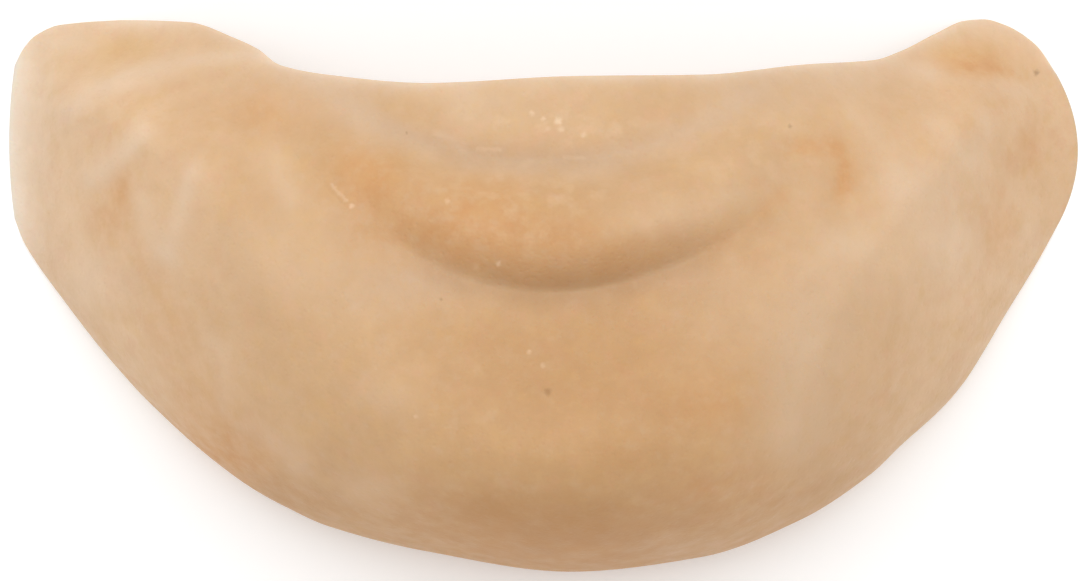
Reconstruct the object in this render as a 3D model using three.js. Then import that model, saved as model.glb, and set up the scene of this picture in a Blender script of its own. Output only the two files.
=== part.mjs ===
// A prosthetic chin: one hollow latex moulding that is glued over the wearer's own chin.
// It lies as it rests by itself, open back down: +X to the viewer's right, +Y towards the lip,
// +Z up through the front of the chin. Sizes are in millimetres.
import * as THREE from "three";
import { LoftGeometry } from "three/addons/geometries/LoftGeometry.js";

// Driving dimensions
const BODY_WALL = 2.2; // latex thickness over the chin and jowls
const EDGE_WALL = 1.1; // latex thickness at the trimmed edge
const WALL_TAPER = 9; // distance from the edge over which the wall thins
const RIM_TURN = 2; // height, in walls, below which the wall is measured level
const CORNER_PULL = 0.05; // how much the wall leans to the middle, which only a corner notices
const LIP_RISE_POWER = 1.8; // how roundly a section rises from the lip edge to its crown
const NECK_FALL_POWER = 2.3; // how flat a section stays before it falls to the neck edge
const NECK_FALL_ROUND = 2.0; // how upright it stands at the neck edge
const NECK_TUCK = 2.2; // how far the neck edge tucks in under the chin
const NECK_TUCK_HEIGHT = 9; // height at which the tuck begins
const NECK_TUCK_REACH = 44; // distance from the middle at which the tuck has faded out

// Mesh rows follow the lip edge, the upper fold, the crease and the neck edge, so the lines stay crisp.
const SECTIONS_ACROSS = 70;
const EVEN_SPACING = 0.5; // share of even spacing in the sections; the rest crowds them to the wing ends
const SEAT_ROWS = 8; // lip edge to upper fold
const SEAT_SHARE_MIN = 0.04; // least share of a section that these rows take up
const ROLL_ROWS = 14; // upper fold to crease
const CHIN_ROWS = 30; // crease to neck edge
const ROLL_CROWDING = 1.3; // how much the rows crowd under the roll
const NECK_CROWDING = 1.6; // how much they crowd at the neck edge
const INNER_STEP = 2; // the smoother inner skin has one row for every two outside

// Sections across the piece, from the end of the left wing to the end of the right one.
// bow: how far the section bulges sideways. lip, neck: y of the upper and lower edge.
// lift: height of the lip edge. crown, at: the section's height, and where it is between lip and neck.
// flap: how far the lip side lies out flat at its edge, where a wing ends in a flap.
const SECTIONS = [
  { x: -57.6, bow: -0.6, lip: 25.0, neck: 8.3, lift: 0.0, crown: 0.0, at: 0.42, flap: 0.6 },
  { x: -56.7, bow: -0.4, lip: 26.7, neck: 6.0, lift: 0.0, crown: 1.0, at: 0.40, flap: 0.6 },
  { x: -55.2, bow: -0.3, lip: 28.3, neck: 3.5, lift: 0.0, crown: 2.6, at: 0.38, flap: 0.6 },
  { x: -52.6, bow: -0.2, lip: 29.4, neck: -0.1, lift: 0.0, crown: 6.8, at: 0.34, flap: 0.6 },
  { x: -47.3, bow: 0.0, lip: 29.8, neck: -6.9, lift: 1.2, crown: 13.2, at: 0.32, flap: 0.6 },
  { x: -38.5, bow: 0.0, lip: 29.4, neck: -16.2, lift: 7.5, crown: 20.9, at: 0.37, flap: 0.5 },
  { x: -33.1, bow: 0.0, lip: 27.5, neck: -20.6, lift: 11.5, crown: 24.6, at: 0.43, flap: 0.3 },
  { x: -30.6, bow: 0.0, lip: 26.3, neck: -22.2, lift: 13.5, crown: 26.2, at: 0.46, flap: 0.1 },
  { x: -28.3, bow: 0.0, lip: 24.6, neck: -23.4, lift: 15.3, crown: 27.6, at: 0.50, flap: 0.0 },
  { x: -23.3, bow: 0.0, lip: 23.5, neck: -25.6, lift: 18.0, crown: 30.4, at: 0.56, flap: 0.0 },
  { x: -12.4, bow: 0.0, lip: 22.5, neck: -28.2, lift: 21.4, crown: 34.8, at: 0.66, flap: 0.0 },
  { x: 2.9, bow: 0.0, lip: 23.2, neck: -30.3, lift: 22.5, crown: 36.6, at: 0.71, flap: 0.0 },
  { x: 17.1, bow: 0.0, lip: 23.4, neck: -28.8, lift: 20.9, crown: 34.6, at: 0.66, flap: 0.0 },
  { x: 28.0, bow: 0.0, lip: 24.6, neck: -24.9, lift: 16.4, crown: 29.0, at: 0.55, flap: 0.0 },
  { x: 35.6, bow: 0.0, lip: 25.2, neck: -20.0, lift: 11.3, crown: 23.7, at: 0.45, flap: 0.2 },
  { x: 38.9, bow: 0.0, lip: 26.3, neck: -16.8, lift: 8.4, crown: 20.9, at: 0.41, flap: 0.4 },
  { x: 42.7, bow: 0.0, lip: 28.2, neck: -13.2, lift: 4.6, crown: 17.2, at: 0.37, flap: 0.6 },
  { x: 45.9, bow: 0.1, lip: 29.7, neck: -9.5, lift: 1.8, crown: 13.8, at: 0.34, flap: 0.6 },
  { x: 48.0, bow: 0.2, lip: 30.0, neck: -6.2, lift: 0.6, crown: 11.0, at: 0.35, flap: 0.6 },
  { x: 50.3, bow: 0.4, lip: 29.4, neck: -2.3, lift: 0.0, crown: 8.0, at: 0.36, flap: 0.6 },
  { x: 53.6, bow: 1.1, lip: 27.3, neck: 3.1, lift: 0.0, crown: 3.0, at: 0.40, flap: 0.6 },
  { x: 56.0, bow: 2.3, lip: 24.0, neck: 7.4, lift: 0.0, crown: 0.0, at: 0.45, flap: 0.6 },
];

// Two lines cross the front like smiles: the shallow upper fold and the deep crease.
// mid, low: the lowest point of a line. half: half its width. rise, power: its climb on the left and right.
// depth, above, below: how deep it is, and how far its upper and lower flank reach.
// floor, soft: how round its bottom is, and how much more so at the ends.
// from, to, hold: where it ends, and how long it stays deep on the way there.
const UPPER_FOLD = {
  mid: -0.4, low: 14.2, half: 26, rise: [9.6, 9.6], power: [2.2, 2.2],
  depth: 1.3, above: 6.4, below: 3.6, floor: 1.0, soft: 1.6,
  from: -26.4, to: 25.6, hold: 4,
};
const CREASE = {
  mid: 1.3, low: 0.1, half: 26, rise: [13.0, 9.6], power: [2.25, 1.75],
  depth: 4.4, above: 7.0, below: 12.0, floor: 1.0, soft: 1.2,
  from: -20.5, to: 28.0, hold: 2,
};
const VALLEY_POWER = 3; // above 1 the upper flank is round, steepest at the line
const ROLL_HEIGHT = 1.6; // the roll between the two lines
const ROLL_POWER = 1.5; // above 1 the roll's slopes are hollow at their feet
const LIP_SEAT_HEIGHT = 0.5; // the swelling between the lip edge and the upper fold

// Soft round swellings and dimples: place, size across and down, height.
const MOUNDS = [
  { x: 1.0, y: -9.6, across: 11.0, down: 4.6, height: -0.8 }, // flat of the chin
  { x: 2.4, y: -16.5, across: 15.0, down: 4.5, height: 0.5 }, // ball of the chin
  { x: -30.0, y: 3.0, across: 12.0, down: 8.0, height: 0.9 }, // left jowl
  { x: 33.5, y: 1.0, across: 11.0, down: 9.0, height: 0.9 }, // right jowl
];

// Folds in the jowls and wings: from, to, sideways bow, width and height, negative for a furrow.
const FOLDS = [
  { from: [-30.6, 25.6], to: [-52.1, 19.6], bow: -1.6, width: 2.0, height: 0.8 }, // left flap ridge
  { from: [-36.6, 28.3], to: [-49.8, 25.3], bow: -1.0, width: 2.0, height: -0.9 }, // valley behind it
  { from: [-42.8, 17.4], to: [-48.6, 12.6], bow: 0.4, width: 1.8, height: 0.35 }, // three left wing ridges
  { from: [-36.4, 16.2], to: [-40.2, 7.2], bow: 0.5, width: 2.0, height: 0.35 },
  { from: [-42.1, 11.8], to: [-41.6, 6.0], bow: -0.4, width: 1.8, height: 0.2 },
  { from: [-45.4, 13.0], to: [-46.8, 7.2], bow: -0.4, width: 2.0, height: -0.3 }, // furrow between them
  { from: [-28.4, 14.9], to: [-26.8, 9.8], bow: -0.4, width: 1.8, height: 0.35 }, // left end of the crease
  { from: [27.2, 15.8], to: [31.4, 10.9], bow: 3.0, width: 1.7, height: -0.5 }, // hooked dent on the right
  { from: [30.4, 20.6], to: [37.7, 7.8], bow: 3.4, width: 2.4, height: 0.25 }, // rim around that dent
  { from: [37.0, 25.3], to: [53.0, 20.5], bow: 0.5, width: 2.0, height: 0.8 }, // right flap ridge
  { from: [41.3, 26.8], to: [50.8, 23.9], bow: 0.8, width: 2.6, height: -0.8 }, // valley behind it
  { from: [41.9, 18.5], to: [44.9, 13.6], bow: 0.3, width: 1.8, height: 0.3 }, // ridge on the right wing
  { from: [48.5, 15.3], to: [47.6, 4.9], bow: 0.8, width: 2.2, height: -0.3 }, // furrow beside it
];

const clamp01 = (value) => Math.min(1, Math.max(0, value));
const ramp = (value) => clamp01(value) ** 2 * (3 - 2 * clamp01(value));
const hump = (share) => 4 * share * (1 - share); // 0 at both ends and 1 halfway

// A smooth curve through one column of the section table that never overshoots its rows.
function columnCurve(column) {
  const xs = SECTIONS.map((row) => row.x);
  const ys = SECTIONS.map((row) => row[column]);
  const slopes = xs.slice(1).map((x, i) => (ys[i + 1] - ys[i]) / (x - xs[i]));
  const tangents = xs.map((_, i) => {
    const before = slopes[Math.max(0, i - 1)];
    const after = slopes[Math.min(slopes.length - 1, i)];
    return before * after > 0 ? (2 * before * after) / (before + after) : 0;
  });
  return (x) => {
    const i = Math.max(0, xs.findLastIndex((place, n) => place <= x && n < xs.length - 1));
    const span = xs[i + 1] - xs[i];
    const q = clamp01((x - xs[i]) / span);
    const blend = ramp(q);
    const leaving = q * (1 - q) ** 2 * span * tangents[i];
    const arriving = q * q * (1 - q) * span * tangents[i + 1];
    return ys[i] * (1 - blend) + ys[i + 1] * blend + leaving - arriving;
  };
}

const lipAt = columnCurve("lip");
const neckAt = columnCurve("neck");
const bowAt = columnCurve("bow");
const liftAt = columnCurve("lift");
const crownAt = columnCurve("crown");
const crownPlaceAt = columnCurve("at");
const flapAt = columnCurve("flap");

const sideOf = (line, x) => (x < line.mid ? 0 : 1); // left or right of a line's lowest point

function lineAt(line, x) {
  const side = sideOf(line, x);
  return line.low + line.rise[side] * Math.abs((x - line.mid) / line.half) ** line.power[side];
}

// 1 where a line is deepest, 0 past its ends.
function lineFade(line, x) {
  const place = (2 * x - line.from - line.to) / (line.to - line.from);
  return Math.max(0, 1 - Math.abs(place) ** line.hold);
}

// The plain dome: a section rises from the lip edge to its crown and falls to the neck edge.
function domeHeight(x, t) {
  const crown = crownAt(x);
  const place = crownPlaceAt(x);
  if (t < place) {
    const lift = liftAt(x);
    const roundRise = 1 - (1 - t / place) ** LIP_RISE_POWER;
    return lift + (crown - lift) * (roundRise + flapAt(x) * (ramp(t / place) - roundRise));
  }
  const fallen = clamp01((t - place) / (1 - place));
  return crown * (1 - fallen ** NECK_FALL_POWER) ** (1 / NECK_FALL_ROUND);
}

// A crease along a line: a flank that stands up above it, a long soft one below, and softer ends.
function valleyHeight(line, x, y) {
  const power = line.power[sideOf(line, x)];
  const steepness = (line.rise[sideOf(line, x)] * power) / line.half;
  const slope = steepness * Math.abs((x - line.mid) / line.half) ** (power - 1);
  const distance = (y - lineAt(line, x)) / Math.hypot(1, slope);
  const fade = lineFade(line, x);
  const soft = line.floor + line.soft * (1 - fade);
  const away = Math.hypot(distance, soft) - soft;
  const upperFlank = clamp01(1 - away / line.above) ** VALLEY_POWER;
  const lowerFlank = ramp(1 - away / line.below);
  return -line.depth * fade * (distance > 0 ? upperFlank : lowerFlank);
}

// The roll swells between the two lines, and the lip seat a little above the upper one.
function rollHeight(x, y) {
  const top = lineAt(UPPER_FOLD, x);
  const down = clamp01((top - y) / (top - lineAt(CREASE, x)));
  const up = clamp01((y - top) / Math.max(1, lipAt(x) - top));
  const roll = ROLL_HEIGHT * Math.max(0, Math.sin(Math.PI * down)) ** ROLL_POWER;
  const seat = LIP_SEAT_HEIGHT * Math.sin(Math.PI * up);
  return lineFade(UPPER_FOLD, x) * (roll + seat);
}

function moundHeight(mound, x, y) {
  return mound.height * Math.exp(-(((x - mound.x) / mound.across) ** 2) - ((y - mound.y) / mound.down) ** 2);
}

// A fold is a soft ridge along a shallow arc, tapered at both ends.
function foldHeight(fold, x, y) {
  const along = [fold.to[0] - fold.from[0], fold.to[1] - fold.from[1]];
  const length = Math.hypot(...along);
  const ahead = ((x - fold.from[0]) * along[0] + (y - fold.from[1]) * along[1]) / length ** 2;
  const aside = ((y - fold.from[1]) * along[0] - (x - fold.from[0]) * along[1]) / length;
  const share = clamp01(ahead);
  const arc = fold.bow * hump(share);
  const end = (ahead - share) * length;
  return fold.height * Math.exp(-(((aside - arc) / fold.width) ** 2) - (end / fold.width) ** 2);
}

// How far a point is from the piece's edge, as a share from 0 at the edge to 1 well inside it.
function insideShare(x, t) {
  const height = lipAt(x) - neckAt(x);
  const fromEnd = Math.min(x - SECTIONS[0].x, SECTIONS.at(-1).x - x);
  return ramp(Math.min(t * height, (1 - t) * height, fromEnd) / WALL_TAPER);
}

// The point of the outer skin at x, a share t of the way from the lip edge to the neck edge.
function outerPoint(x, t) {
  const lip = lipAt(x);
  const y = lip + (neckAt(x) - lip) * t;
  const relief =
    valleyHeight(CREASE, x, y) +
    valleyHeight(UPPER_FOLD, x, y) +
    rollHeight(x, y) +
    MOUNDS.reduce((sum, mound) => sum + moundHeight(mound, x, y), 0) +
    FOLDS.reduce((sum, fold) => sum + foldHeight(fold, x, y), 0);
  const z = domeHeight(x, t) + relief * insideShare(x, t);
  const low = t > crownPlaceAt(x) ? Math.max(0, 1 - z / NECK_TUCK_HEIGHT) : 0;
  const tuck = NECK_TUCK * low ** 2 * Math.max(0, 1 - (x / NECK_TUCK_REACH) ** 2);
  return new THREE.Vector3(x + bowAt(x) * hump(t), y + tuck, z);
}

// Where a line crosses the section at x, as a share of the way from the lip edge to the neck edge.
// Past its ends the line runs on level.
function shareOfLine(line, x) {
  const within = Math.min(line.mid + line.half, Math.max(line.mid - line.half, x));
  return (lipAt(x) - lineAt(line, within)) / (lipAt(x) - neckAt(x));
}

// The shares of all rows of one section, from the lip edge to the neck edge.
function rowShares(x) {
  const fold = Math.max(SEAT_SHARE_MIN, shareOfLine(UPPER_FOLD, x));
  const crease = shareOfLine(CREASE, x);
  const steps = (count) => Array.from({ length: count }, (_, i) => (i + 1) / count);
  return [
    0,
    ...steps(SEAT_ROWS).map((step) => fold * step),
    ...steps(ROLL_ROWS).map((step) => fold + (crease - fold) * (1 - (1 - step) ** ROLL_CROWDING)),
    ...steps(CHIN_ROWS).map((step) => crease + (1 - crease) * (1 - (1 - step) ** NECK_CROWDING)),
  ];
}

function outwardNormal(x, t) {
  const step = 1e-3;
  const left = Math.max(SECTIONS[0].x, x - step);
  const right = Math.min(SECTIONS.at(-1).x, x + step);
  const across = outerPoint(right, t).sub(outerPoint(left, t));
  const down = outerPoint(x, Math.min(1, t + step)).sub(outerPoint(x, Math.max(0, t - step)));
  return down.cross(across).normalize();
}

// The inner skin lies one wall inside the outer one. Where the edge rests, the wall is measured
// level, so that the rim is flat, and at a corner of the outline it points to the middle.
function innerPoint(x, t) {
  const outer = outerPoint(x, t);
  const wall = EDGE_WALL + (BODY_WALL - EDGE_WALL) * insideShare(x, t);
  const inward = outwardNormal(x, t).negate();
  inward.z *= ramp(outer.z / (RIM_TURN * wall));
  const toMiddle = new THREE.Vector3(-outer.x, -outer.y, 0).normalize();
  return outer.addScaledVector(inward.addScaledVector(toMiddle, CORNER_PULL).normalize(), wall);
}

// Each ring goes down the outer skin of a section and back up its inner skin.
function sectionRing(x) {
  const shares = rowShares(x);
  const outer = shares.map((t) => outerPoint(x, t));
  const inner = shares.filter((_, row) => row % INNER_STEP === 0).map((t) => innerPoint(x, t));
  return [...outer, ...inner.reverse()];
}

function chinShell() {
  const first = SECTIONS[0].x;
  const last = SECTIONS.at(-1).x;
  const rings = Array.from({ length: SECTIONS_ACROSS + 1 }, (_, i) => {
    const even = i / SECTIONS_ACROSS;
    const crowded = (1 - Math.cos(Math.PI * even)) / 2;
    return sectionRing(first + (last - first) * (EVEN_SPACING * even + (1 - EVEN_SPACING) * crowded));
  });
  return new LoftGeometry(rings, { closed: true, capStart: true, capEnd: true });
}

const latex = new THREE.MeshStandardMaterial({ color: 0xd9ae82, roughness: 0.55, metalness: 0 });
const shell = new THREE.Mesh(chinShell(), latex);
shell.name = "chin_shell";

// The origin is on the surface that the rim rests on, under the middle of the piece.
shell.geometry.computeBoundingBox();
const middle = shell.geometry.boundingBox.getCenter(new THREE.Vector3());
shell.position.set(-middle.x, -middle.y, -shell.geometry.boundingBox.min.z);

const chin = new THREE.Group();
chin.add(shell);

export default chin;
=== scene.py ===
import math

import bpy
import numpy as np
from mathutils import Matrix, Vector, noise


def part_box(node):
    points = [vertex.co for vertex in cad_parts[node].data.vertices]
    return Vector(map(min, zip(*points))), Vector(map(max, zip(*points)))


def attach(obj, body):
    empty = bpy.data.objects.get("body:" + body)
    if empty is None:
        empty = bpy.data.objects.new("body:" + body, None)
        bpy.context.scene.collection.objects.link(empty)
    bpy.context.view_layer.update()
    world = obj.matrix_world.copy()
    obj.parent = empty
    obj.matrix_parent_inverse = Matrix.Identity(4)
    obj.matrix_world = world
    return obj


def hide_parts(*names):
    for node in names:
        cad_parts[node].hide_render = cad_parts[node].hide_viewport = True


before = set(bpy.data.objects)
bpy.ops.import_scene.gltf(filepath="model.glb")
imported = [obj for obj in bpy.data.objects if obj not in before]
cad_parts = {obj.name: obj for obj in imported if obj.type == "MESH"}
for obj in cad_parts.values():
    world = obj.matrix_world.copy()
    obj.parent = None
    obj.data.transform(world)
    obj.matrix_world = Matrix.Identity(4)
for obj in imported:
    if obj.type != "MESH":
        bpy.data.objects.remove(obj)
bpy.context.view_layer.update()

# The latex shell
# The whole piece is one hollow moulding of skin-toned slip latex, about 2 mm thick over the chin and
# thinner at its edge. It is cast in a plaster mould, peeled out and trimmed by hand with scissors, and
# it lies here by itself on its rim, with the open back down. Its sizes are in millimetres.
MM = 0.001
BODY_WALL = 2.2
EDGE_WALL = 1.1
WALL_TAPER = 9.0
CORNER_PULL = 0.05

# The dome, in sections from the end of the left wing to the end of the right one. bow: sideways bulge.
# lip, neck: y of the two edges. lift: height of the lip edge. crown, at: top of the section and its place.
# flap: how far the lip side lies out flat at its edge, where a wing ends in a flap.
SECTION_COLUMNS = ("x", "bow", "lip", "neck", "lift", "crown", "at", "flap")
SECTIONS = [
    (-57.6, -0.6, 25.0, 8.3, 0.0, 0.0, 0.42, 0.6),
    (-56.7, -0.4, 26.7, 6.0, 0.0, 1.0, 0.40, 0.6),
    (-55.2, -0.3, 28.3, 3.5, 0.0, 2.6, 0.38, 0.6),
    (-52.6, -0.2, 29.4, -0.1, 0.0, 6.8, 0.34, 0.6),
    (-47.3, 0.0, 29.8, -6.9, 1.2, 13.2, 0.32, 0.6),
    (-38.5, 0.0, 29.4, -16.2, 7.5, 20.9, 0.37, 0.5),
    (-33.1, 0.0, 27.5, -20.6, 11.5, 24.6, 0.43, 0.3),
    (-30.6, 0.0, 26.3, -22.2, 13.5, 26.2, 0.46, 0.1),
    (-28.3, 0.0, 24.6, -23.4, 15.3, 27.6, 0.50, 0.0),
    (-23.3, 0.0, 23.5, -25.6, 18.0, 30.4, 0.56, 0.0),
    (-12.4, 0.0, 22.5, -28.2, 21.4, 34.8, 0.66, 0.0),
    (2.9, 0.0, 23.2, -30.3, 22.5, 36.6, 0.71, 0.0),
    (17.1, 0.0, 23.4, -28.8, 20.9, 34.6, 0.66, 0.0),
    (28.0, 0.0, 24.6, -24.9, 16.4, 29.0, 0.55, 0.0),
    (35.6, 0.0, 25.2, -20.0, 11.3, 23.7, 0.45, 0.2),
    (38.9, 0.0, 26.3, -16.8, 8.4, 20.9, 0.41, 0.4),
    (42.7, 0.0, 28.2, -13.2, 4.6, 17.2, 0.37, 0.6),
    (45.9, 0.1, 29.7, -9.5, 1.8, 13.8, 0.34, 0.6),
    (48.0, 0.2, 30.0, -6.2, 0.6, 11.0, 0.35, 0.6),
    (50.3, 0.4, 29.4, -2.3, 0.0, 8.0, 0.36, 0.6),
    (53.6, 1.1, 27.3, 3.1, 0.0, 3.0, 0.40, 0.6),
    (56.0, 2.3, 24.0, 7.4, 0.0, 0.0, 0.45, 0.6),
]
LIP_RISE_POWER = 1.8
NECK_FALL_POWER = 2.3
NECK_FALL_ROUND = 2.0
NECK_TUCK = 2.2
NECK_TUCK_HEIGHT = 9.0
NECK_TUCK_REACH = 44.0

sections = dict(zip(SECTION_COLUMNS, np.array(SECTIONS).T))
FIRST_X = sections["x"][0]
LAST_X = sections["x"][-1]


def ramp(value):
    """A smooth step from 0 to 1."""
    share = np.clip(value, 0, 1)
    return share**2 * (3 - 2 * share)


def arch(share):
    """0 at both ends and 1 in the middle."""
    return 4 * share * (1 - share)


def column_curve(column):
    """A smooth curve through one column of the sections that never overshoots its rows."""
    places = sections["x"]
    values = sections[column]
    slopes = np.diff(values) / np.diff(places)
    before = np.append(slopes[0], slopes)
    after = np.append(slopes, slopes[-1])
    same_way = before * after > 0
    tangents = np.where(same_way, 2 * before * after / np.where(same_way, before + after, 1), 0)

    def curve(x):
        """The column's value at x."""
        row = np.clip(np.searchsorted(places, x, side="right") - 1, 0, len(slopes) - 1)
        span = places[row + 1] - places[row]
        share = np.clip((x - places[row]) / span, 0, 1)
        leaving = share * (1 - share) ** 2 * span * tangents[row]
        arriving = share**2 * (1 - share) * span * tangents[row + 1]
        return values[row] + (values[row + 1] - values[row]) * ramp(share) + leaving - arriving

    return curve


lip_at = column_curve("lip")
neck_at = column_curve("neck")
bow_at = column_curve("bow")
lift_at = column_curve("lift")
crown_at = column_curve("crown")
crown_place_at = column_curve("at")
flap_at = column_curve("flap")


def dome_height(x, t):
    """A section rises from the lip edge to its crown and falls to the neck edge."""
    crown, place, lift, flap = crown_at(x), crown_place_at(x), lift_at(x), flap_at(x)
    risen = np.clip(t / place, 0, 1)
    fallen = np.clip((t - place) / (1 - place), 0, 1)
    round_rise = 1 - (1 - risen) ** LIP_RISE_POWER
    rise = lift + (crown - lift) * (round_rise + flap * (ramp(risen) - round_rise))
    fall = crown * (1 - fallen**NECK_FALL_POWER) ** (1 / NECK_FALL_ROUND)
    return np.where(t < place, rise, fall)


# The roll and the crease. Two lines cross the front like smiles: the shallow upper fold and the deep
# crease. mid, low: the lowest point of a line. half: half its width. rise, power: its climb on the left
# and right. depth, above, below: how deep it is, and how far its upper and lower flank reach. floor,
# soft: how round its bottom is, and how much more so at the ends. from, to, hold: where it ends, and
# how long it stays deep on the way there.
UPPER_FOLD = {
    "mid": -0.4, "low": 14.2, "half": 26.0, "rise": (9.6, 9.6), "power": (2.2, 2.2),
    "depth": 1.3, "above": 6.4, "below": 3.6, "floor": 1.0, "soft": 1.6,
    "from": -26.4, "to": 25.6, "hold": 4,
}
CREASE = {
    "mid": 1.3, "low": 0.1, "half": 26.0, "rise": (13.0, 9.6), "power": (2.25, 1.75),
    "depth": 4.4, "above": 7.0, "below": 12.0, "floor": 1.0, "soft": 1.2,
    "from": -20.5, "to": 28.0, "hold": 2,
}
VALLEY_POWER = 3.0
ROLL_HEIGHT = 1.6
ROLL_POWER = 1.5
LIP_SEAT_HEIGHT = 0.5
LIP_SEAT_DEPTH_MIN = 1.0


def climb(line, x):
    """The rise and power of a line on the side where x is."""
    return [np.where(x < line["mid"], *line[column]) for column in ("rise", "power")]


def line_at(line, x):
    """The y of a line."""
    rise, power = climb(line, x)
    return line["low"] + rise * np.abs((x - line["mid"]) / line["half"]) ** power


def line_fade(line, x):
    """1 where a line is deepest, 0 past its ends."""
    place = (2 * x - line["from"] - line["to"]) / (line["to"] - line["from"])
    return np.maximum(0, 1 - np.abs(place) ** line["hold"])


def valley_height(line, x, y):
    """A crease along a line: a flank that stands up above it, a long soft one below, and softer ends."""
    rise, power = climb(line, x)
    slope = rise * power / line["half"] * np.abs((x - line["mid"]) / line["half"]) ** (power - 1)
    distance = (y - line_at(line, x)) / np.hypot(1, slope)
    fade = line_fade(line, x)
    soft = line["floor"] + line["soft"] * (1 - fade)
    away = np.hypot(distance, soft) - soft
    upper_flank = np.maximum(0, 1 - away / line["above"]) ** VALLEY_POWER
    lower_flank = ramp(1 - away / line["below"])
    return -line["depth"] * fade * np.where(distance > 0, upper_flank, lower_flank)


def roll_height(x, y):
    """The roll swells between the two lines, and the lip seat a little above the upper one."""
    top = line_at(UPPER_FOLD, x)
    down = np.clip((top - y) / (top - line_at(CREASE, x)), 0, 1)
    up = np.clip((y - top) / np.maximum(LIP_SEAT_DEPTH_MIN, lip_at(x) - top), 0, 1)
    roll = ROLL_HEIGHT * np.sin(math.pi * down) ** ROLL_POWER
    seat = LIP_SEAT_HEIGHT * np.sin(math.pi * up)
    return line_fade(UPPER_FOLD, x) * (roll + seat)


# Soft swellings and dimples: place, size across and down, height.
MOUNDS = [
    (1.0, -9.6, 11.0, 4.6, -0.8),
    (2.4, -16.5, 15.0, 4.5, 0.5),
    (-30.0, 3.0, 12.0, 8.0, 0.9),
    (33.5, 1.0, 11.0, 9.0, 0.9),
]

# Folds in the jowls and wings: from x, y, to x, y, sideways bow, width, height; a furrow is negative.
FOLDS = [
    (-30.6, 25.6, -52.1, 19.6, -1.6, 2.0, 0.8),
    (-36.6, 28.3, -49.8, 25.3, -1.0, 2.0, -0.9),
    (-42.8, 17.4, -48.6, 12.6, 0.4, 1.8, 0.35),
    (-36.4, 16.2, -40.2, 7.2, 0.5, 2.0, 0.35),
    (-42.1, 11.8, -41.6, 6.0, -0.4, 1.8, 0.2),
    (-45.4, 13.0, -46.8, 7.2, -0.4, 2.0, -0.3),
    (-28.4, 14.9, -26.8, 9.8, -0.4, 1.8, 0.35),
    (27.2, 15.8, 31.4, 10.9, 3.0, 1.7, -0.5),
    (30.4, 20.6, 37.7, 7.8, 3.4, 2.4, 0.25),
    (37.0, 25.3, 53.0, 20.5, 0.5, 2.0, 0.8),
    (41.3, 26.8, 50.8, 23.9, 0.8, 2.6, -0.8),
    (41.9, 18.5, 44.9, 13.6, 0.3, 1.8, 0.3),
    (48.5, 15.3, 47.6, 4.9, 0.8, 2.2, -0.3),
]

# Fine lines in the skin, in the same columns.
FINE_LINES = [
    (-6.3, 14.4, 11.7, 14.7, -0.5, 0.50, -0.10),
    (-2.9, 12.9, 10.7, 13.1, -0.3, 0.40, 0.14),
    (-11.0, 16.3, -7.6, 15.2, -0.1, 0.45, -0.12),
    (-22.4, 11.6, -20.6, 9.7, 0.1, 0.40, 0.08),
    (-8.7, 12.0, 2.9, 11.2, -0.4, 0.50, -0.10),
    (-46.9, 20.7, -53.1, 17.7, 0.5, 0.60, 0.22),
    (-34.6, 17.6, -37.6, 12.4, 0.2, 0.60, 0.12),
    (-46.1, 10.3, -49.2, 2.6, 0.6, 0.70, 0.22),
    (-32.2, 9.4, -34.7, 1.4, 0.5, 0.80, 0.20),
    (39.0, 19.1, 43.5, 9.4, 0.8, 0.60, 0.22),
    (45.8, 19.3, 50.0, 11.3, 0.6, 0.60, 0.20),
    (35.5, 5.3, 28.8, -11.7, -1.2, 0.90, 0.18),
    (40.2, 4.7, 34.6, -9.2, -1.0, 0.90, 0.18),
]


def soft_spot(x, y, row):
    """A round swelling or patch that fades outwards."""
    middle_x, middle_y, across, down, strength = row
    return strength * np.exp(-(((x - middle_x) / across) ** 2) - ((y - middle_y) / down) ** 2)


def soft_line(x, y, row):
    """A ridge or streak along a shallow arc, tapered at both ends."""
    from_x, from_y, to_x, to_y, bow, width, strength = row
    along_x, along_y = to_x - from_x, to_y - from_y
    length = math.hypot(along_x, along_y)
    ahead = ((x - from_x) * along_x + (y - from_y) * along_y) / length**2
    aside = ((y - from_y) * along_x - (x - from_x) * along_y) / length
    share = np.clip(ahead, 0, 1)
    past_end = (ahead - share) * length
    return strength * np.exp(-(((aside - bow * arch(share)) / width) ** 2) - (past_end / width) ** 2)


def total(shape, x, y, rows):
    """What the rows of a table add up to."""
    return sum(shape(x, y, row) for row in rows)


def inside_share(x, t):
    """0 at the piece's edge, 1 well inside it."""
    height = lip_at(x) - neck_at(x)
    from_end = np.minimum(x - FIRST_X, LAST_X - x)
    return ramp(np.minimum(np.minimum(t, 1 - t) * height, from_end) / WALL_TAPER)


def skin_point(x, t, fine):
    """The outer skin at x, a share t of the way from the lip edge to the neck edge."""
    x, t = np.broadcast_arrays(x, t)
    lip = lip_at(x)
    y = lip + (neck_at(x) - lip) * t
    relief = valley_height(CREASE, x, y) + valley_height(UPPER_FOLD, x, y) + roll_height(x, y)
    relief += total(soft_spot, x, y, MOUNDS) + total(soft_line, x, y, FOLDS)
    if fine:
        relief += total(soft_line, x, y, FINE_LINES)
    z = dome_height(x, t) + relief * inside_share(x, t)
    low = np.where(t > crown_place_at(x), np.maximum(0, 1 - z / NECK_TUCK_HEIGHT), 0)
    tuck = NECK_TUCK * low**2 * np.maximum(0, 1 - (x / NECK_TUCK_REACH) ** 2)
    return np.stack((x + bow_at(x) * arch(t), y + tuck, z), axis=-1)


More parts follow.
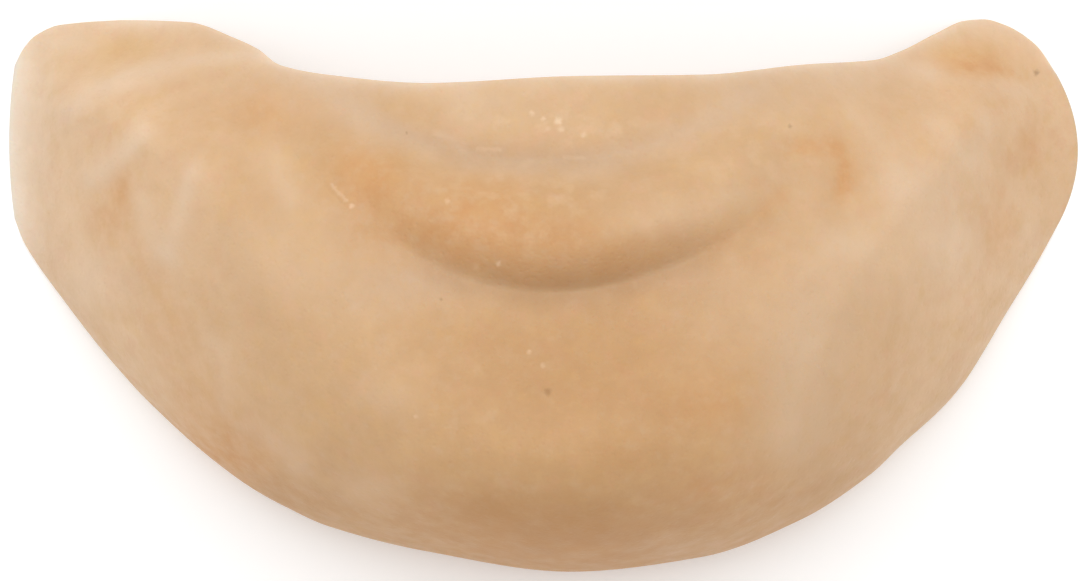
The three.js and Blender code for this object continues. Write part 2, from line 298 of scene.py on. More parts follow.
def outward_normal(x, t):
    """Square on the outer skin, from its points a small step to either side."""
    step = 1e-3
    across = skin_point(np.minimum(LAST_X, x + step), t, False)
    across = across - skin_point(np.maximum(FIRST_X, x - step), t, False)
    down = skin_point(x, np.minimum(1, t + step), False)
    down = down - skin_point(x, np.maximum(0, t - step), False)
    normal = np.cross(down, across)
    return normal / np.linalg.norm(normal, axis=-1, keepdims=True)


# Mesh rows follow the lip edge, the upper fold, the crease and the neck edge.
SECTIONS_ACROSS = 300
EVEN_SPACING = 0.6
SEAT_ROWS = 30
SEAT_SHARE_MIN = 0.04
ROLL_ROWS = 48
CHIN_ROWS = 90
ROLL_CROWDING = 1.6
NECK_CROWDING = 1.7
INNER_STEP = 3
RIM_ROWS = 5


def share_of_line(line, x):
    """Where a line crosses the section at x; past its ends it runs on level."""
    within = np.clip(x, line["mid"] - line["half"], line["mid"] + line["half"])
    return (lip_at(x) - line_at(line, within)) / (lip_at(x) - neck_at(x))


def steps(count, crowding):
    """Shares from just past 0 to 1, closer together towards 1 where the crowding is above 1."""
    return 1 - (1 - np.arange(1, count + 1) / count) ** crowding


even = np.linspace(0, 1, SECTIONS_ACROSS + 1)
crowded = (1 - np.cos(math.pi * even)) / 2
xs = (FIRST_X + (LAST_X - FIRST_X) * (EVEN_SPACING * even + (1 - EVEN_SPACING) * crowded))[:, None]
fold_share = np.maximum(SEAT_SHARE_MIN, share_of_line(UPPER_FOLD, xs))
crease_share = share_of_line(CREASE, xs)
rows = np.hstack(
    (
        np.zeros_like(xs),
        fold_share * steps(SEAT_ROWS, 1),
        fold_share + (crease_share - fold_share) * steps(ROLL_ROWS, ROLL_CROWDING),
        crease_share + (1 - crease_share) * steps(CHIN_ROWS, NECK_CROWDING),
    )
)

# The outer skin keeps the mould's slight unevenness; the inner one, left by the pour, is smoother.
SWELL_LENGTH = 11.0
SWELL_HEIGHT = 0.16
GRAIN_LENGTH = 2.6
GRAIN_HEIGHT = 0.035
POUR_LENGTH = 6.0
POUR_HEIGHT = 0.14
RIM_ROUND = 0.35
END_SETTLE = 1.6


def unevenness(points, length, height):
    """Soft bumps about as wide as length."""
    bumps = [noise.noise(Vector(point)) for point in points.reshape(-1, 3) / length]
    return height * np.array(bumps).reshape(points.shape[:-1] + (1,))


# The rim's rounding runs out at the wing ends, whose thin edge lies on the surface.
from_end = np.minimum(xs - FIRST_X, LAST_X - xs)
rounding = RIM_ROUND * ramp(from_end / END_SETTLE)


def lie_on_rim(points):
    """Leaves room under the two skins for the rim's rounding, without folding the rows over."""
    lifted = points.copy()
    lifted[..., 2] += rounding * np.exp(-np.maximum(0, points[..., 2]) / RIM_ROUND)
    return lifted


# The wall lies level where it rests, and turns square on the skin over a few thicknesses of height.
TURN_WALLS = 2
inside = inside_share(xs, rows)[..., None]
outer = skin_point(xs, rows, True)
normals = outward_normal(xs, rows)
wall = EDGE_WALL + (BODY_WALL - EDGE_WALL) * inside
inward = -normals
inward[..., 2] *= ramp(outer[..., 2] / (TURN_WALLS * wall[..., 0]))
to_middle = -outer * (1, 1, 0)
inward += CORNER_PULL * to_middle / np.linalg.norm(to_middle, axis=-1, keepdims=True)
inward /= np.linalg.norm(inward, axis=-1, keepdims=True)
inner = skin_point(xs, rows, False) + inward * wall
inner = inner - normals * inside * unevenness(inner, POUR_LENGTH, POUR_HEIGHT)
outer = outer + normals * inside * unevenness(outer, SWELL_LENGTH, SWELL_HEIGHT)
outer = outer + normals * inside * unevenness(outer, GRAIN_LENGTH, GRAIN_HEIGHT)
outer = lie_on_rim(outer)
inner = lie_on_rim(inner)[:, ::INNER_STEP]

# The rim carries on the way that the outer skin runs over its last rows.
RIM_LOOK_BACK = 2
STRAIGHT_DOWN = np.array((0, 0, -1))


def rim(outer_end, inner_end, outer_before):
    """A rounded edge from the outer skin to the inner one; where it rests it faces straight down."""
    away = outer_end - outer_before
    away /= np.linalg.norm(away, axis=-1, keepdims=True)
    free = ramp(outer_end[:, 2:] / (TURN_WALLS * EDGE_WALL))
    facing = free * away + (1 - free) * STRAIGHT_DOWN
    facing /= np.linalg.norm(facing, axis=-1, keepdims=True)
    turn = (math.pi * np.arange(1, RIM_ROWS + 1) / (RIM_ROWS + 1))[None, :, None]
    middle = ((outer_end + inner_end) / 2)[:, None]
    half = ((inner_end - outer_end) / 2)[:, None]
    return middle - half * np.cos(turn) + rounding[..., None] * facing[:, None] * np.sin(turn)


neck_rim = rim(outer[:, -1], inner[:, -1], outer[:, -1 - RIM_LOOK_BACK])
lip_rim = rim(outer[:, 0], inner[:, 0], outer[:, RIM_LOOK_BACK])[:, ::-1]
rings = np.concatenate((outer, neck_rim, inner[:, ::-1], lip_rim), axis=1)
ring_size = rings.shape[1]

# The piece is set where the solid is: its box has the same middle, and it rests on the same surface.
plain = skin_point(xs, rows, False).reshape(-1, 3) * MM
solid_low, solid_high = (np.array(corner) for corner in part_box("chin_shell"))
middle = (plain.min(axis=0) + plain.max(axis=0)) / 2
place = (solid_low + solid_high) / 2 - middle
place[2] = solid_low[2]
corners = rings.reshape(-1, 3) * MM + place

ring, around = np.meshgrid(np.arange(SECTIONS_ACROSS), np.arange(ring_size), indexing="ij")
onward = (around + 1) % ring_size
quads = np.stack(
    (
        ring * ring_size + around,
        ring * ring_size + onward,
        (ring + 1) * ring_size + onward,
        (ring + 1) * ring_size + around,
    ),
    axis=-1,
).reshape(-1, 4)
first_cap = list(range(ring_size))[::-1]
last_cap = list(range(SECTIONS_ACROSS * ring_size, (SECTIONS_ACROSS + 1) * ring_size))
shell_mesh = bpy.data.meshes.new("latex_shell")
shell_mesh.from_pydata(corners.tolist(), [], quads.tolist() + [first_cap, last_cap])
shell_mesh.shade_smooth()
end_edges = set()
for cap in shell_mesh.polygons[-2:]:
    cap.use_smooth = False
    end_edges.update(cap.edge_keys)
for edge in shell_mesh.edges:
    edge.use_edge_sharp = edge.key in end_edges
shell = bpy.data.objects.new("latex_shell", shell_mesh)
bpy.context.scene.collection.objects.link(shell)

# The skin's tones: some left by the way the latex was tinted, poured and dried, and some painted shade,
# light and sheen in its creases, folds, ridges and edges.
# Streaks: from x, y, to x, y, sideways bow, width, strength. Patches: x, y, across, down, strength.
# Partly milky latex and partly painted highlight: pale streaks of sheen along the ridges of the wing
# folds.
MILKY_AND_SHEEN_STREAKS = [
    (-30.6, 25.8, -51.7, 19.8, -1.6, 1.2, 0.60),
    (-42.8, 17.3, -48.6, 12.7, 0.4, 1.4, 0.65),
    (-34.2, 17.8, -37.4, 13.4, 0.0, 0.9, 0.16),
    (-37.8, 12.6, -40.2, 4.8, 0.3, 1.8, 0.36),
    (-37.6, 12.6, -39.2, 7.4, 0.3, 0.8, 0.28),
    (-42.8, 10.4, -40.8, 5.0, -0.3, 1.3, 0.30),
    (-28.3, 14.8, -27.0, 10.2, -0.4, 1.5, 0.30),
    (-11.2, 16.9, -8.6, 15.7, 0.0, 0.5, 0.35),
    (-35.4, -4.9, -34.0, -11.4, 0.6, 1.4, 0.24),
    (-31.4, -14.3, -26.0, -18.4, 0.6, 1.8, 0.24),
    (37.6, 24.9, 52.4, 21.9, 0.1, 1.0, 0.28),
    (33.4, 19.6, 37.6, 8.4, 1.6, 1.6, 0.18),
    (41.9, 18.5, 44.9, 14.2, 0.3, 1.1, 0.24),
    (47.8, 19.0, 48.3, 17.9, 0.0, 1.0, 0.30),
]
MILKY_AND_SHEEN_PATCHES = [
    (-49.0, 1.6, 2.6, 4.0, 0.40),
    (40.6, 11.6, 4.0, 3.4, 0.44),
    (43.0, 5.4, 3.6, 4.4, 0.50),
    (-39.8, 3.4, 2.4, 2.2, 0.30),
    (-44.5, 1.1, 2.0, 2.0, 0.30),
    (53.0, 5.9, 1.8, 2.6, 0.25),
    (-19.4, 19.1, 2.0, 1.6, 0.28),
    (20.2, 10.5, 2.8, 1.6, 0.22),
    (45.8, 15.3, 2.2, 2.2, 0.28),
    (41.0, 24.4, 2.4, 2.0, 0.40),
    (-51.4, 27.4, 3.0, 1.6, 0.55),
    (32.0, 5.5, 3.2, 2.0, 0.35),
    (27.3, -6.0, 4.2, 5.0, 0.35),
    (27.2, -14.2, 3.6, 4.6, 0.35),
    (-16.7, -10.8, 3.2, 2.2, 0.30),
    (-18.5, -20.5, 4.0, 1.8, 0.25),
    (1.8, 18.7, 15.0, 2.6, 0.12),
    (-7.2, 20.2, 4.0, 2.4, 0.35),
    (4.2, 12.7, 3.4, 1.3, 0.28),
    (-17.4, 16.4, 2.8, 1.6, 0.25),
    (26.4, 19.9, 3.0, 2.0, 0.22),
    (-25.4, 19.9, 3.0, 2.0, 0.22),
    (-39.6, 27.2, 2.6, 1.4, 0.15),
    (-34.9, 22.3, 2.6, 1.6, 0.22),
    (12.6, 8.3, 7.0, 3.0, 0.26),
    (-29.6, 4.4, 7.0, 5.0, 0.22),
    (34.0, 2.0, 4.5, 5.0, 0.25),
]
# Partly the latex's own orange flush and partly painted warm shade: in the hook dimple, at the shadowed
# left end of the roll, under the roll and along the neck edge.
FLUSH_AND_SHADE_STREAKS = [
    (27.0, 15.7, 31.3, 11.0, 3.0, 1.2, 0.60),
    (18.6, 5.4, 25.2, 10.4, -0.3, 1.0, 0.45),
    (40.0, 25.4, 50.6, 23.9, 0.2, 0.9, 0.40),
]
FLUSH_AND_SHADE_PATCHES = [
    (-18.1, 12.0, 3.6, 3.2, 0.80),
    (-20.4, 13.6, 2.6, 3.2, 0.35),
    (-12.1, 7.4, 8.0, 3.4, 0.55),
    (-6.5, 9.6, 5.0, 3.4, 0.42),
    (1.9, 5.2, 13.0, 3.2, 0.60),
    (-29.2, 19.6, 6.0, 2.6, 0.50),
    (-45.5, 11.8, 1.4, 2.4, 0.65),
    (-46.9, 8.0, 2.2, 2.2, 0.55),
    (-42.4, 2.2, 2.4, 2.6, 0.30),
    (-39.7, -3.6, 2.6, 2.8, 0.28),
    (-34.2, -17.2, 6.0, 3.4, 0.90),
    (-37.0, -11.6, 5.6, 4.6, 0.36),
    (2.0, -27.6, 24.0, 4.6, 0.40),
    (-15.0, -21.0, 8.0, 4.0, 0.25),
    (22.0, -20.0, 6.0, 4.0, 0.25),
    (22.4, 12.1, 0.7, 0.6, 0.50),
    (18.4, -11.6, 4.0, 3.0, 0.42),
    (15.9, -20.3, 4.6, 2.6, 0.32),
    (32.4, 12.4, 1.8, 2.0, 0.50),
    (28.9, 15.5, 2.4, 0.9, 0.40),
    (46.1, 25.0, 4.6, 2.0, 0.65),
    (53.0, 16.2, 1.9, 3.0, 0.55),
    (49.0, 7.1, 1.8, 2.6, 0.50),
]
OCHRE_PATCHES = [
    (-44.0, 27.2, 5.5, 2.0, 0.50),
    (-48.2, 25.6, 5.0, 2.4, 0.45),
    (44.6, 25.6, 5.4, 2.4, 0.80),
    (-18.9, 13.2, 4.0, 3.0, 0.60),
    (-3.9, 9.1, 9.0, 2.6, 0.25),
    (-1.9, -18.3, 16.0, 4.0, 0.25),
]
# Partly the skin's own deeper tone and partly painted shade: darker towards the neck edge where the chin
# turns under, and under the roll and along the crease.
DEEP_AND_SHADE_PATCHES = [
    (5.0, -7.4, 17.0, 6.0, 0.36),
    (2.0, -13.6, 13.0, 4.6, 0.28),
    (15.4, -11.6, 4.4, 3.2, 0.30),
    (-4.4, -5.6, 3.6, 2.4, 0.18),
    (-6.0, -22.8, 4.5, 2.4, 0.24),
    (-13.6, 18.9, 3.4, 1.8, 0.14),
    (9.8, 0.9, 2.8, 1.2, 0.28),
    (-6.5, 10.4, 2.6, 1.8, 0.22),
    (-37.2, 16.2, 2.6, 2.8, 0.16),
    (8.0, -17.2, 4.6, 2.4, 0.24),
    (23.0, 3.6, 4.0, 4.0, 0.15),
    (-30.0, 10.4, 2.6, 2.6, 0.17),
    (2.6, -27.0, 24.0, 7.0, 0.90),
    (-18.5, 13.5, 5.0, 4.0, 0.30),
    (1.8, 11.0, 9.0, 3.0, 0.25),
    (1.0, 6.3, 8.0, 1.6, 0.30),
    (-30.0, -22.0, 9.0, 5.0, 0.50),
    (30.0, -20.0, 8.0, 6.0, 0.34),
    (35.0, -9.0, 8.0, 8.0, 0.14),
    (44.0, 15.0, 12.0, 12.0, 0.15),
    (49.6, 22.2, 2.4, 1.6, 0.12),
]
# Partly the skin's own greyish tone and partly painted shade: the cool grey of shade along the upper fold,
# below the crease and at the left end of the roll.
DUSTY_AND_SHADE_PATCHES = [
    (-17.1, 1.0, 8.0, 3.0, 0.60),
    (-21.4, 7.2, 2.4, 2.2, 0.50),
    (-26.5, 23.2, 6.0, 2.0, 0.60),
    (14.4, -27.0, 5.0, 1.6, 0.35),
    (-20.2, 20.4, 4.4, 3.0, 0.50),
    (31.5, 23.0, 8.0, 2.2, 0.60),
    (21.1, 21.3, 5.0, 2.8, 0.50),
    (24.4, 12.8, 4.0, 2.4, 0.35),
    (-12.6, 1.6, 5.0, 1.8, 0.50),
    (16.1, 1.9, 5.0, 2.0, 0.35),
    (28.1, -1.0, 5.0, 8.0, 0.50),
    (38.0, 12.4, 3.0, 3.0, 0.25),
    (19.0, -1.5, 5.0, 4.0, 0.35),
]
FLECKED_PATCHES = [
    (0.0, 18.6, 14.0, 3.0, 0.90),
    (0.0, 8.6, 20.0, 6.0, 0.70),
    (24.0, 15.0, 6.0, 4.0, 0.60),
    (-12.0, -8.0, 8.0, 6.0, 0.30),
]
# Painted shade: a cool grey band along the valley of the upper fold.
FOLD_SHADE_TINT_WIDTH = 1.6
FOLD_SHADE_TINT = 0.90
# Painted shade: a grey-brown line along the crease, and a fainter one along the upper fold, where shade
# gathers.
CREASE_SHADE_WIDTH = 1.7
CREASE_SHADE = 0.36
FOLD_SHADE = (-16.8, 17.6, 8.4, 14.8, -1.7, 1.4, 0.12)
# The wings are painted paler: partly thinner, paler latex and partly painted light on their sloping sides.
WING_FROM = 20.0
WING_FULL = 50.0
EDGE_THINNING = 2.5
LIP_THINNING = 0.9
LIP_PALE = 0.45
WANDER_LENGTH = 4.6
WANDER = 0.4
WANDER_SEED = 5

# The tones' borders wander, as poured latex does, and in the same way on each run.
noise.seed_set(WANDER_SEED)
stray = [noise.noise_vector(Vector(point)) for point in rings.reshape(-1, 3) / WANDER_LENGTH]
stray = np.array(stray).reshape(rings.shape) * WANDER
plan_x = rings[..., 0] + stray[..., 0]
plan_y = rings[..., 1] + stray[..., 1]


def streaks(rows):
    """A table of streaks, laid on every corner of the mesh."""
    return total(soft_line, plan_x, plan_y, rows)


def patches(rows):
    """A table of patches, laid on every corner of the mesh."""
    return total(soft_spot, plan_x, plan_y, rows)


def along_line(line, width):
    """1 along one of the two lines, fading beside it and towards its ends."""
    return line_fade(line, plan_x) * np.exp(-(((plan_y - line_at(line, plan_x)) / width) ** 2))


# Painted light: the thin end of the left wing and the lip edge are painted paler, as light comes through
# them. The rim and the inner skin are raw.
from_lip = np.maximum(0, lip_at(xs) - plan_y)
thin_end = np.exp(-(xs - FIRST_X) / EDGE_THINNING)
thin_lip = LIP_PALE * np.exp(-from_lip / LIP_THINNING)
raw = np.zeros(rings.shape[:2])
raw[:, outer.shape[1]:] = 1
tones = {
    "wing": ramp((np.abs(plan_x) - WING_FROM) / (WING_FULL - WING_FROM)),
    "deep": patches(DEEP_AND_SHADE_PATCHES),
    "dusty_and_shade": FOLD_SHADE_TINT * along_line(UPPER_FOLD, FOLD_SHADE_TINT_WIDTH) + patches(DUSTY_AND_SHADE_PATCHES),
    "flush_and_shade": streaks(FLUSH_AND_SHADE_STREAKS) + patches(FLUSH_AND_SHADE_PATCHES),
    "milky_and_sheen": streaks(MILKY_AND_SHEEN_STREAKS) + patches(MILKY_AND_SHEEN_PATCHES),
    "ochre": patches(OCHRE_PATCHES),
    "thin": np.maximum(thin_end, thin_lip),
    "fold_and_crease_shade": CREASE_SHADE * along_line(CREASE, CREASE_SHADE_WIDTH) + streaks([FOLD_SHADE]),
    "flecked": patches(FLECKED_PATCHES),
    "raw": raw,
}
for name, amounts in tones.items():
    values = shell_mesh.attributes.new(name, "FLOAT", "POINT")
    values.data.foreach_set("value", np.clip(amounts, 0, 1).astype(np.float32).ravel())

# The latex itself: tan with milky, dusty and orange tones, partly painted shade and sheen, satin, a little
# translucent, finely pored.
# Its colours are given as they are seen, and the first three values are the curve of that scale.
SEEN_FULL = 255
SEEN_OFFSET = 0.055
SEEN_POWER = 2.4


def tone_of(red, green, blue):
    """A colour as it is seen, 0 to 255, as the light it reflects."""
    seen = [part / SEEN_FULL for part in (red, green, blue)]
    return [((part + SEEN_OFFSET) / (1 + SEEN_OFFSET)) ** SEEN_POWER for part in seen] + [1.0]


TAN = tone_of(211, 173, 131)
# The wings' paler tan, partly thinner latex and partly painted light on their sloping sides.
WING_TAN_AND_LIGHT = tone_of(224, 189, 152)
# A deeper tan, for the skin's own deeper places and for painted shade.
DEEP_TAN_AND_SHADE = tone_of(187, 138, 86)
# A greyer tan, for the skin's own greyish patches and for the painted cool grey of shade.
DUSTY_AND_SHADE_TAN = tone_of(211, 179, 147)
# Painted shade: the grey-brown of shade in the crease and the upper fold.
CREASE_SHADE_TONE = tone_of(172, 142, 112)
# An orange tan, for the latex's own flush and for painted warm shade.
ORANGE_AND_WARM_SHADE = tone_of(211, 158, 106)
OCHRE = tone_of(216, 176, 124)
# A milky cream, for milky latex and for painted sheen on the ridges.
MILK_AND_SHEEN = tone_of(230, 205, 179)
# Painted light coming through the thinnest latex.
THIN_EDGE_LIGHT = tone_of(242, 227, 209)
RAW = tone_of(224, 190, 150)
RAW_SHARE = 0.75
BLOTCH_SHADE = [0.93, 0.90, 0.86, 1.0]
PORE_SHADE = [0.90, 0.86, 0.81, 1.0]
PINKISH = tone_of(219, 173, 138)
FLECK = tone_of(230, 199, 164)

latex = bpy.data.materials.new("skin_latex")
latex.use_nodes = True
nodes = latex.node_tree.nodes
links = latex.node_tree.links
skin = nodes["Principled BSDF"]
surface_place = nodes.new("ShaderNodeTexCoord").outputs["Object"]


def noise_of(size_mm, detail, roughness=0.5, seed=0.0):
    """Cloudy mottling whose patches are about size_mm across."""
    cloud = nodes.new("ShaderNodeTexNoise")
    cloud.noise_dimensions = "4D"
    cloud.inputs["W"].default_value = seed
    cloud.inputs["Scale"].default_value = 1 / (size_mm * MM)
    cloud.inputs["Detail"].default_value = detail
    cloud.inputs["Roughness"].default_value = roughness
    links.new(surface_place, cloud.inputs["Vector"])
    return cloud.outputs["Fac"]


def tone(name):
    """One of the tones that the mesh carries."""
    reader = nodes.new("ShaderNodeAttribute")
    reader.attribute_name = name
    return reader.outputs["Fac"]


def spread(value, low, high, to_low=0.0, to_high=1.0):
    """Stretches the range from low to high over the range from to_low to to_high."""
    stretch = nodes.new("ShaderNodeMapRange")
    stretch.interpolation_type = "SMOOTHSTEP"
    stretch.inputs["From Min"].default_value = low
    stretch.inputs["From Max"].default_value = high
    stretch.inputs["To Min"].default_value = to_low
    stretch.inputs["To Max"].default_value = to_high
    links.new(value, stretch.inputs["Value"])
    return stretch.outputs["Result"]


def combine(operation, first, second):
    """One step of reckoning with amounts, each a socket or a fixed number."""
    math_node = nodes.new("ShaderNodeMath")
    math_node.operation = operation
    for socket, value in zip(math_node.inputs, (first, second)):
        if isinstance(value, float):
            socket.default_value = value
        else:
            links.new(value, socket)
    return math_node.outputs["Value"]


# Where a mix node has its sockets for colours.
MIX_AMOUNT = 0
MIX_UNDER = 6
MIX_OVER = 7
MIX_RESULT = 2


def paint(under, over, amount, blend="MIX"):
    """Lays the colour over on the colour under, by amount."""
    mix = nodes.new("ShaderNodeMix")
    mix.data_type = "RGBA"
    mix.blend_type = blend
    links.new(amount, mix.inputs[MIX_AMOUNT])
    for socket, value in ((mix.inputs[MIX_UNDER], under), (mix.inputs[MIX_OVER], over)):
        if isinstance(value, list):
            socket.default_value = value
        else:
            links.new(value, socket)
    return mix.outputs[MIX_RESULT]


blotches = noise_of(size_mm=7, detail=2)
clouds = noise_of(size_mm=2.4, detail=4, roughness=0.6)
specks = noise_of(size_mm=0.42, detail=3, roughness=0.6)
ochre_clouds = noise_of(size_mm=2.6, detail=3, roughness=0.55, seed=2.0)
pinkish_clouds = noise_of(size_mm=2.2, detail=3, roughness=0.55, seed=3.0)
fleck_clouds = noise_of(size_mm=1.9, detail=3, roughness=0.5, seed=4.0)
yellow_clouds = noise_of(size_mm=1.6, detail=3, roughness=0.55, seed=5.0)
dusty_clouds = noise_of(size_mm=1.4, detail=3, roughness=0.55, seed=6.0)

# The broad tones, painted shade and sheen among them, come first, then the finer mottling of the plain
# skin, and the thin and raw places last.
colour = paint(TAN, WING_TAN_AND_LIGHT, tone("wing"))
colour = paint(colour, OCHRE, tone("ochre"))
colour = paint(colour, OCHRE, spread(ochre_clouds, low=0.48, high=0.68, to_high=0.35))
colour = paint(colour, PINKISH, spread(pinkish_clouds, low=0.5, high=0.7, to_high=0.35))
# The deeper tone, partly painted shade towards the neck edge, under the roll and by the crease.
colour = paint(colour, DEEP_TAN_AND_SHADE, tone("deep"))
colour = paint(colour, DUSTY_AND_SHADE_TAN, tone("dusty_and_shade"))
flush_and_shade_cover = spread(clouds, low=0.25, high=0.7, to_low=0.5)
milky_and_sheen_cover = spread(clouds, low=0.25, high=0.7, to_low=0.6)
colour = paint(colour, ORANGE_AND_WARM_SHADE, combine("MULTIPLY", tone("flush_and_shade"), flush_and_shade_cover))
colour = paint(colour, MILK_AND_SHEEN, combine("MULTIPLY", tone("milky_and_sheen"), milky_and_sheen_cover))
plain_share = combine("SUBTRACT", 1.0, combine("MAXIMUM", tone("wing"), tone("deep")))
yellow_mottle = spread(yellow_clouds, low=0.5, high=0.7, to_high=0.25)
dusty_mottle = spread(dusty_clouds, low=0.5, high=0.7, to_high=0.3)
colour = paint(colour, OCHRE, combine("MULTIPLY", yellow_mottle, plain_share))
colour = paint(colour, DUSTY_AND_SHADE_TAN, combine("MULTIPLY", dusty_mottle, plain_share))
# Painted shade along the crease and the upper fold.
colour = paint(colour, CREASE_SHADE_TONE, tone("fold_and_crease_shade"))
flecks = spread(fleck_clouds, low=0.5, high=0.72, to_high=0.35)
colour = paint(colour, FLECK, combine("MULTIPLY", flecks, tone("flecked")))
colour = paint(colour, THIN_EDGE_LIGHT, tone("thin"))
colour = paint(colour, RAW, combine("MULTIPLY", tone("raw"), RAW_SHARE))

# Dark pinholes and pale crumbs of dry latex: x, y, radius, strength.
PINHOLES = [
    (0.5, -10.2, 0.60, 0.32),
    (53.7, 24.2, 0.50, 0.45),
    (26.3, 18.0, 0.36, 0.30),
    (-14.5, 17.2, 0.28, 0.30),
    (-10.8, -0.5, 0.28, 0.30),
]
CRUMBS = [
    (-1.2, 19.3, 0.45, 0.40),
    (0.0, 18.7, 0.45, 0.40),
    (1.6, 18.4, 0.65, 0.60),
    (1.9, 17.6, 0.55, 0.40),
    (0.5, 17.6, 0.45, 0.20),
    (4.3, 17.0, 0.50, 0.35),
    (7.7, 17.6, 1.20, 0.20),
    (-10.1, 9.9, 0.45, 0.30),
    (-4.7, 3.3, 0.45, 0.50),
    (-7.1, 3.0, 0.70, 0.20),
    (-1.5, -6.0, 0.40, 0.35),
    (0.0, -7.4, 0.40, 0.25),
    (-13.4, -12.8, 0.40, 0.25),
    (-20.3, 9.4, 0.50, 0.50),
]
# Thin pale scratches: from x, y, to x, y, half width, strength.
SCRATCHES = [
    (-22.4, 11.7, -20.9, 10.0, 0.35, 0.28),
    (-6.9, 15.5, -4.6, 15.4, 0.40, 0.15),
    (2.3, 14.6, 4.3, 14.5, 0.35, 0.12),
]
PINHOLE_BROWN = tone_of(132, 98, 66)
CRUMB_PALE = tone_of(242, 215, 184)
RAGGED_LENGTH = 0.5
RAGGED_REACH = 0.5
RAGGED_MIDDLE = 0.5
MARK_CORE = 0.1


def on_skin(x, y):
    """A place on the piece, seen from the front, in the scene's metres."""
    return Vector((x * MM + place[0], y * MM + place[1], 0))


def measure(operation, first, second, output="Vector"):
    """One step of reckoning with places; first is a socket, second a socket or a fixed place."""
    step = nodes.new("ShaderNodeVectorMath")
    step.operation = operation
    links.new(first, step.inputs[0])
    if isinstance(second, Vector):
        step.inputs[1].default_value = second
    else:
        links.new(second, step.inputs[1])
    return step.outputs[output]


# The marks have ragged borders, and lie on the skin as it is seen from the front.
ragged = nodes.new("ShaderNodeTexNoise")
ragged.inputs["Scale"].default_value = 1 / (RAGGED_LENGTH * MM)
links.new(surface_place, ragged.inputs["Vector"])
centred = measure("SUBTRACT", ragged.outputs["Color"], Vector([RAGGED_MIDDLE] * 3))
strayed = measure("MULTIPLY", centred, Vector([RAGGED_REACH * MM] * 3))
ragged_place = measure("ADD", strayed, surface_place)
flat_place = measure("MULTIPLY", ragged_place, Vector((1, 1, 0)))


def mark(away, radius, strength):
    """How strong a mark is at a distance from its middle."""
    return spread(away, low=MARK_CORE * radius * MM, high=radius * MM, to_low=strength, to_high=0.0)


def spot(row):
    """A small round mark."""
    x, y, radius, strength = row
    return mark(measure("DISTANCE", flat_place, on_skin(x, y), "Value"), radius, strength)


def scratch(row):
    """A thin straight mark."""
    from_x, from_y, to_x, to_y, radius, strength = row
    start = on_skin(from_x, from_y)
    along = on_skin(to_x, to_y) - start
    from_start = measure("SUBTRACT", flat_place, start)
    ahead = measure("DOT_PRODUCT", from_start, along / along.length_squared, "Value")
    ahead = combine("MINIMUM", combine("MAXIMUM", ahead, 0.0), 1.0)
    nearest = nodes.new("ShaderNodeVectorMath")
    nearest.operation = "SCALE"
    nearest.inputs[0].default_value = along
    links.new(ahead, nearest.inputs["Scale"])
    return mark(measure("DISTANCE", from_start, nearest.outputs["Vector"], "Value"), radius, strength)


for row in PINHOLES:
    colour = paint(colour, PINHOLE_BROWN, spot(row))
for row in CRUMBS:
    colour = paint(colour, CRUMB_PALE, spot(row))
for row in SCRATCHES:
    colour = paint(colour, CRUMB_PALE, scratch(row))
colour = paint(colour, BLOTCH_SHADE, spread(blotches, low=0.3, high=0.7, to_high=0.7), "MULTIPLY")
colour = paint(colour, BLOTCH_SHADE, spread(clouds, low=0.3, high=0.7, to_high=0.5), "MULTIPLY")
colour = paint(colour, PORE_SHADE, spread(specks, low=0.5, high=0.8, to_high=0.3), "MULTIPLY")
links.new(colour, skin.inputs["Base Color"])

# A satin surface that lets a little light in, and fine pores.
SATIN_GLOSS = 0.25
TRANSLUCENCY = 0.25
LIGHT_DEPTHS = (1.0, 0.5, 0.25)
LIGHT_REACH = 0.8
PORE_SPACING = 0.75
PORE_SHARE = 0.45
PORE_STRENGTH = 0.25
PORE_DEPTH = 0.12
links.new(spread(clouds, low=0.3, high=0.7, to_low=0.46, to_high=0.6), skin.inputs["Roughness"])
skin.inputs["Specular IOR Level"].default_value = SATIN_GLOSS
skin.inputs["Subsurface Weight"].default_value = TRANSLUCENCY
skin.inputs["Subsurface Radius"].default_value = LIGHT_DEPTHS
skin.inputs["Subsurface Scale"].default_value = LIGHT_REACH * MM
pores = nodes.new("ShaderNodeTexVoronoi")
pores.inputs["Scale"].default_value = 1 / (PORE_SPACING * MM)
links.new(surface_place, pores.inputs["Vector"])
pore_walls = spread(pores.outputs["Distance"], low=0.0, high=PORE_SHARE)
grain = combine("ADD", pore_walls, noise_of(size_mm=0.4, detail=3, roughness=0.6))
bump = nodes.new("ShaderNodeBump")
bump.inputs["Strength"].default_value = PORE_STRENGTH
bump.inputs["Distance"].default_value = PORE_DEPTH * MM
links.new(grain, bump.inputs["Height"])
links.new(bump.outputs["Normal"], skin.inputs["Normal"])
shell_mesh.materials.append(latex)

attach(shell, "root")
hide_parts("chin_shell")

# The table top
# A plain pale surface that the rim rests on, much wider than the view so that no edge shows. It isn't
# part of the object.
TABLE_HALF = 3.0
TABLE_WHITE = (0.92, 0.92, 0.92, 1.0)
TABLE_ROUGHNESS = 0.9
TABLE_GLOW = 0.16
FULL_WHITE = (1.0, 1.0, 1.0, 1.0)
TABLE_CORNERS = ((-1, -1), (1, -1), (1, 1), (-1, 1))
table_mesh = bpy.data.meshes.new("table_top")
table_corners = [(across * TABLE_HALF, along * TABLE_HALF, 0.0) for across, along in TABLE_CORNERS]
table_mesh.from_pydata(table_corners, [], [(0, 1, 2, 3)])
table = bpy.data.objects.new("table_top", table_mesh)
bpy.context.scene.collection.objects.link(table)
table_paint = bpy.data.materials.new("table_white")
table_paint.use_nodes = True
table_surface = table_paint.node_tree.nodes["Principled BSDF"]
table_surface.inputs["Base Color"].default_value = TABLE_WHITE
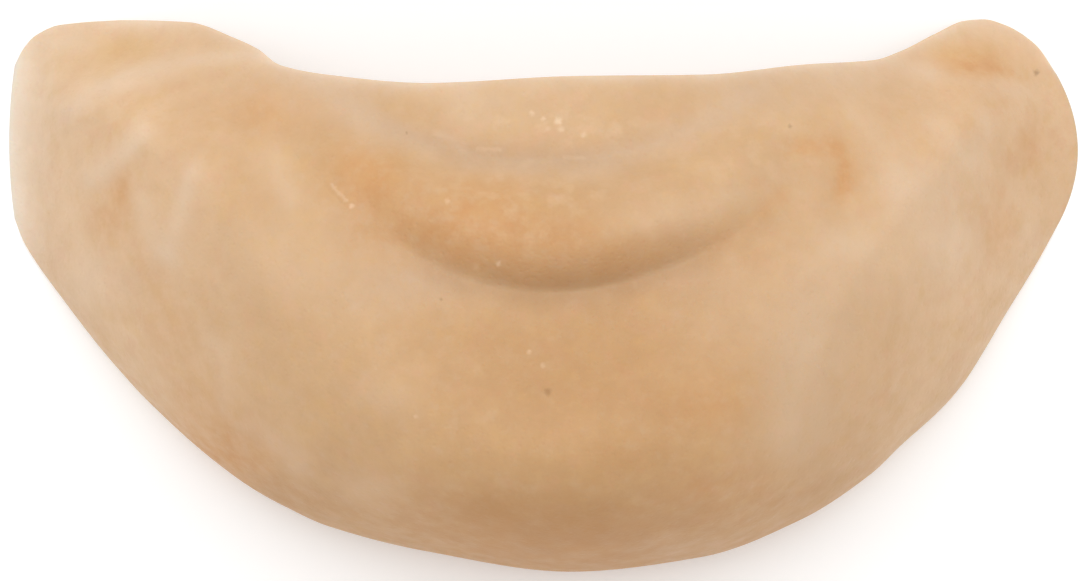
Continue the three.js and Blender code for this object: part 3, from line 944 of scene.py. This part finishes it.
table_surface.inputs["Roughness"].default_value = TABLE_ROUGHNESS
table_surface.inputs["Emission Color"].default_value = FULL_WHITE
table_surface.inputs["Emission Strength"].default_value = TABLE_GLOW
table_mesh.materials.append(table_paint)

# The studio light
# A long soft panel above the lip side, and an even pale room, so that shadows stay faint. The panel is
# much wider than the piece, so that both wings are lit alike.
ROOM_LIGHT = 0.66
PANEL_WIDTH = 2.4
PANEL_DEPTH = 0.9
PANEL_PLACE = Vector((0.0, 0.40, 1.05))
PANEL_WATTS = 9.8
room = bpy.data.worlds.new("studio_room")
room.use_nodes = True
room_walls = room.node_tree.nodes["Background"]
room_walls.inputs["Color"].default_value = FULL_WHITE
room_walls.inputs["Strength"].default_value = ROOM_LIGHT
bpy.context.scene.world = room
panel_light = bpy.data.lights.new("soft_panel", "AREA")
panel_light.shape = "RECTANGLE"
panel_light.size = PANEL_WIDTH
panel_light.size_y = PANEL_DEPTH
panel_light.energy = PANEL_WATTS
panel = bpy.data.objects.new("soft_panel", panel_light)
panel.location = PANEL_PLACE
panel.rotation_euler = (-PANEL_PLACE).to_track_quat("-Z", "Y").to_euler()
bpy.context.scene.collection.objects.link(panel)

# The camera
# It looks straight down on the front of the chin, as in the photograph, with the piece filling the frame.
# The scale is that of the table top, and the frame's middle lies a few pixels from the piece's.
FRAME_WIDTH_PIXELS = 1080
MM_PER_PIXEL = 0.109
MIDDLE_PIXELS = (3.5, 4.0)
LENS_MM = 300.0
SENSOR_MM = 36.0
pixel = MM_PER_PIXEL * MM
frame_width = FRAME_WIDTH_PIXELS * pixel
camera_data = bpy.data.cameras.new("camera")
camera_data.lens = LENS_MM
camera_data.sensor_width = SENSOR_MM
camera = bpy.data.objects.new("camera", camera_data)
camera.location = (
    -MIDDLE_PIXELS[0] * pixel,
    MIDDLE_PIXELS[1] * pixel,
    frame_width * LENS_MM / SENSOR_MM,
)
bpy.context.scene.collection.objects.link(camera)
bpy.context.scene.camera = camera
bpy.context.scene.view_settings.view_transform = "Standard"
